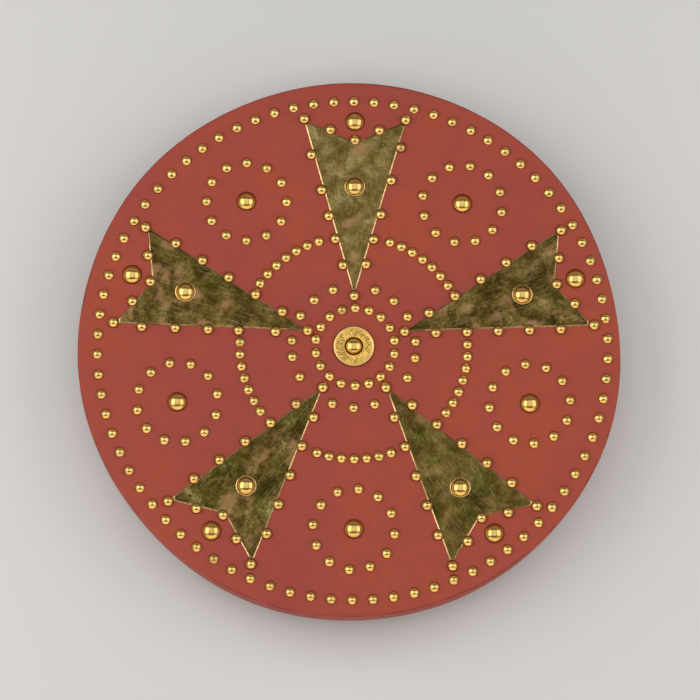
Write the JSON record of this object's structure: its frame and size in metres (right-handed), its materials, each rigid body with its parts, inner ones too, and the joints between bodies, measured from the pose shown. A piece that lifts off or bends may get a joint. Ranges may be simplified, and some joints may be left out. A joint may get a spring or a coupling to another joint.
{
  "type": "round shield",
  "caption": "Round wooden shield faced with leather, set with brass tacks in rings, domed studs and notched brass arrowhead plates, with an arm strap and a hand grip behind.",
  "frame": {"origin": "middle of the disc, on the plane that the arm strap and the hand grip rest on", "axes": "+Z out of the shield's face, upwards as it lies; +Y from the middle along the top plate; +X to the right as the face is seen"},
  "size_m": [0.5, 0.5, 0.0643],
  "materials": {
    "board_wood": "planed boards, oiled and aged, matt",
    "face_leather": "brick-red dyed leather, satin, softly mottled",
    "plate_brass": "patinated sheet brass, olive with copper-brown blotches, fine scratches",
    "polished_brass": "polished brass",
    "strap_leather": "dark brown waxed leather, satin",
    "nail_iron": "forged iron, darkened"
  },
  "bodies": {
    "root": {"wooden_board": "board_wood", "leather_cover": "face_leather", "plate_top": "plate_brass", "plate_upper_left": "plate_brass", "plate_lower_left": "plate_brass", "plate_lower_right": "plate_brass", "plate_upper_right": "plate_brass", "plate_stud_top": "polished_brass", "plate_stud_upper_left": "polished_brass", "plate_stud_lower_left": "polished_brass", "plate_stud_lower_right": "polished_brass", "plate_stud_upper_right": "polished_brass", "notch_stud_top": "polished_brass", "notch_stud_upper_left": "polished_brass", "notch_stud_lower_left": "polished_brass", "notch_stud_lower_right": "polished_brass", "notch_stud_upper_right": "polished_brass", "ring_stud_upper_left": "polished_brass", "ring_stud_left": "polished_brass", "ring_stud_bottom": "polished_brass", "ring_stud_right": "polished_brass", "ring_stud_upper_right": "polished_brass", "centre_washer": "polished_brass", "centre_stud": "polished_brass", "arm_strap": "strap_leather", "arm_strap_nail_1": "nail_iron", "arm_strap_nail_2": "nail_iron", "arm_strap_nail_3": "nail_iron", "arm_strap_nail_4": "nail_iron", "hand_grip": "strap_leather", "hand_grip_nail_1": "nail_iron", "hand_grip_nail_2": "nail_iron", "hand_grip_nail_3": "nail_iron", "hand_grip_nail_4": "nail_iron"}
  },
  "joints": []
}
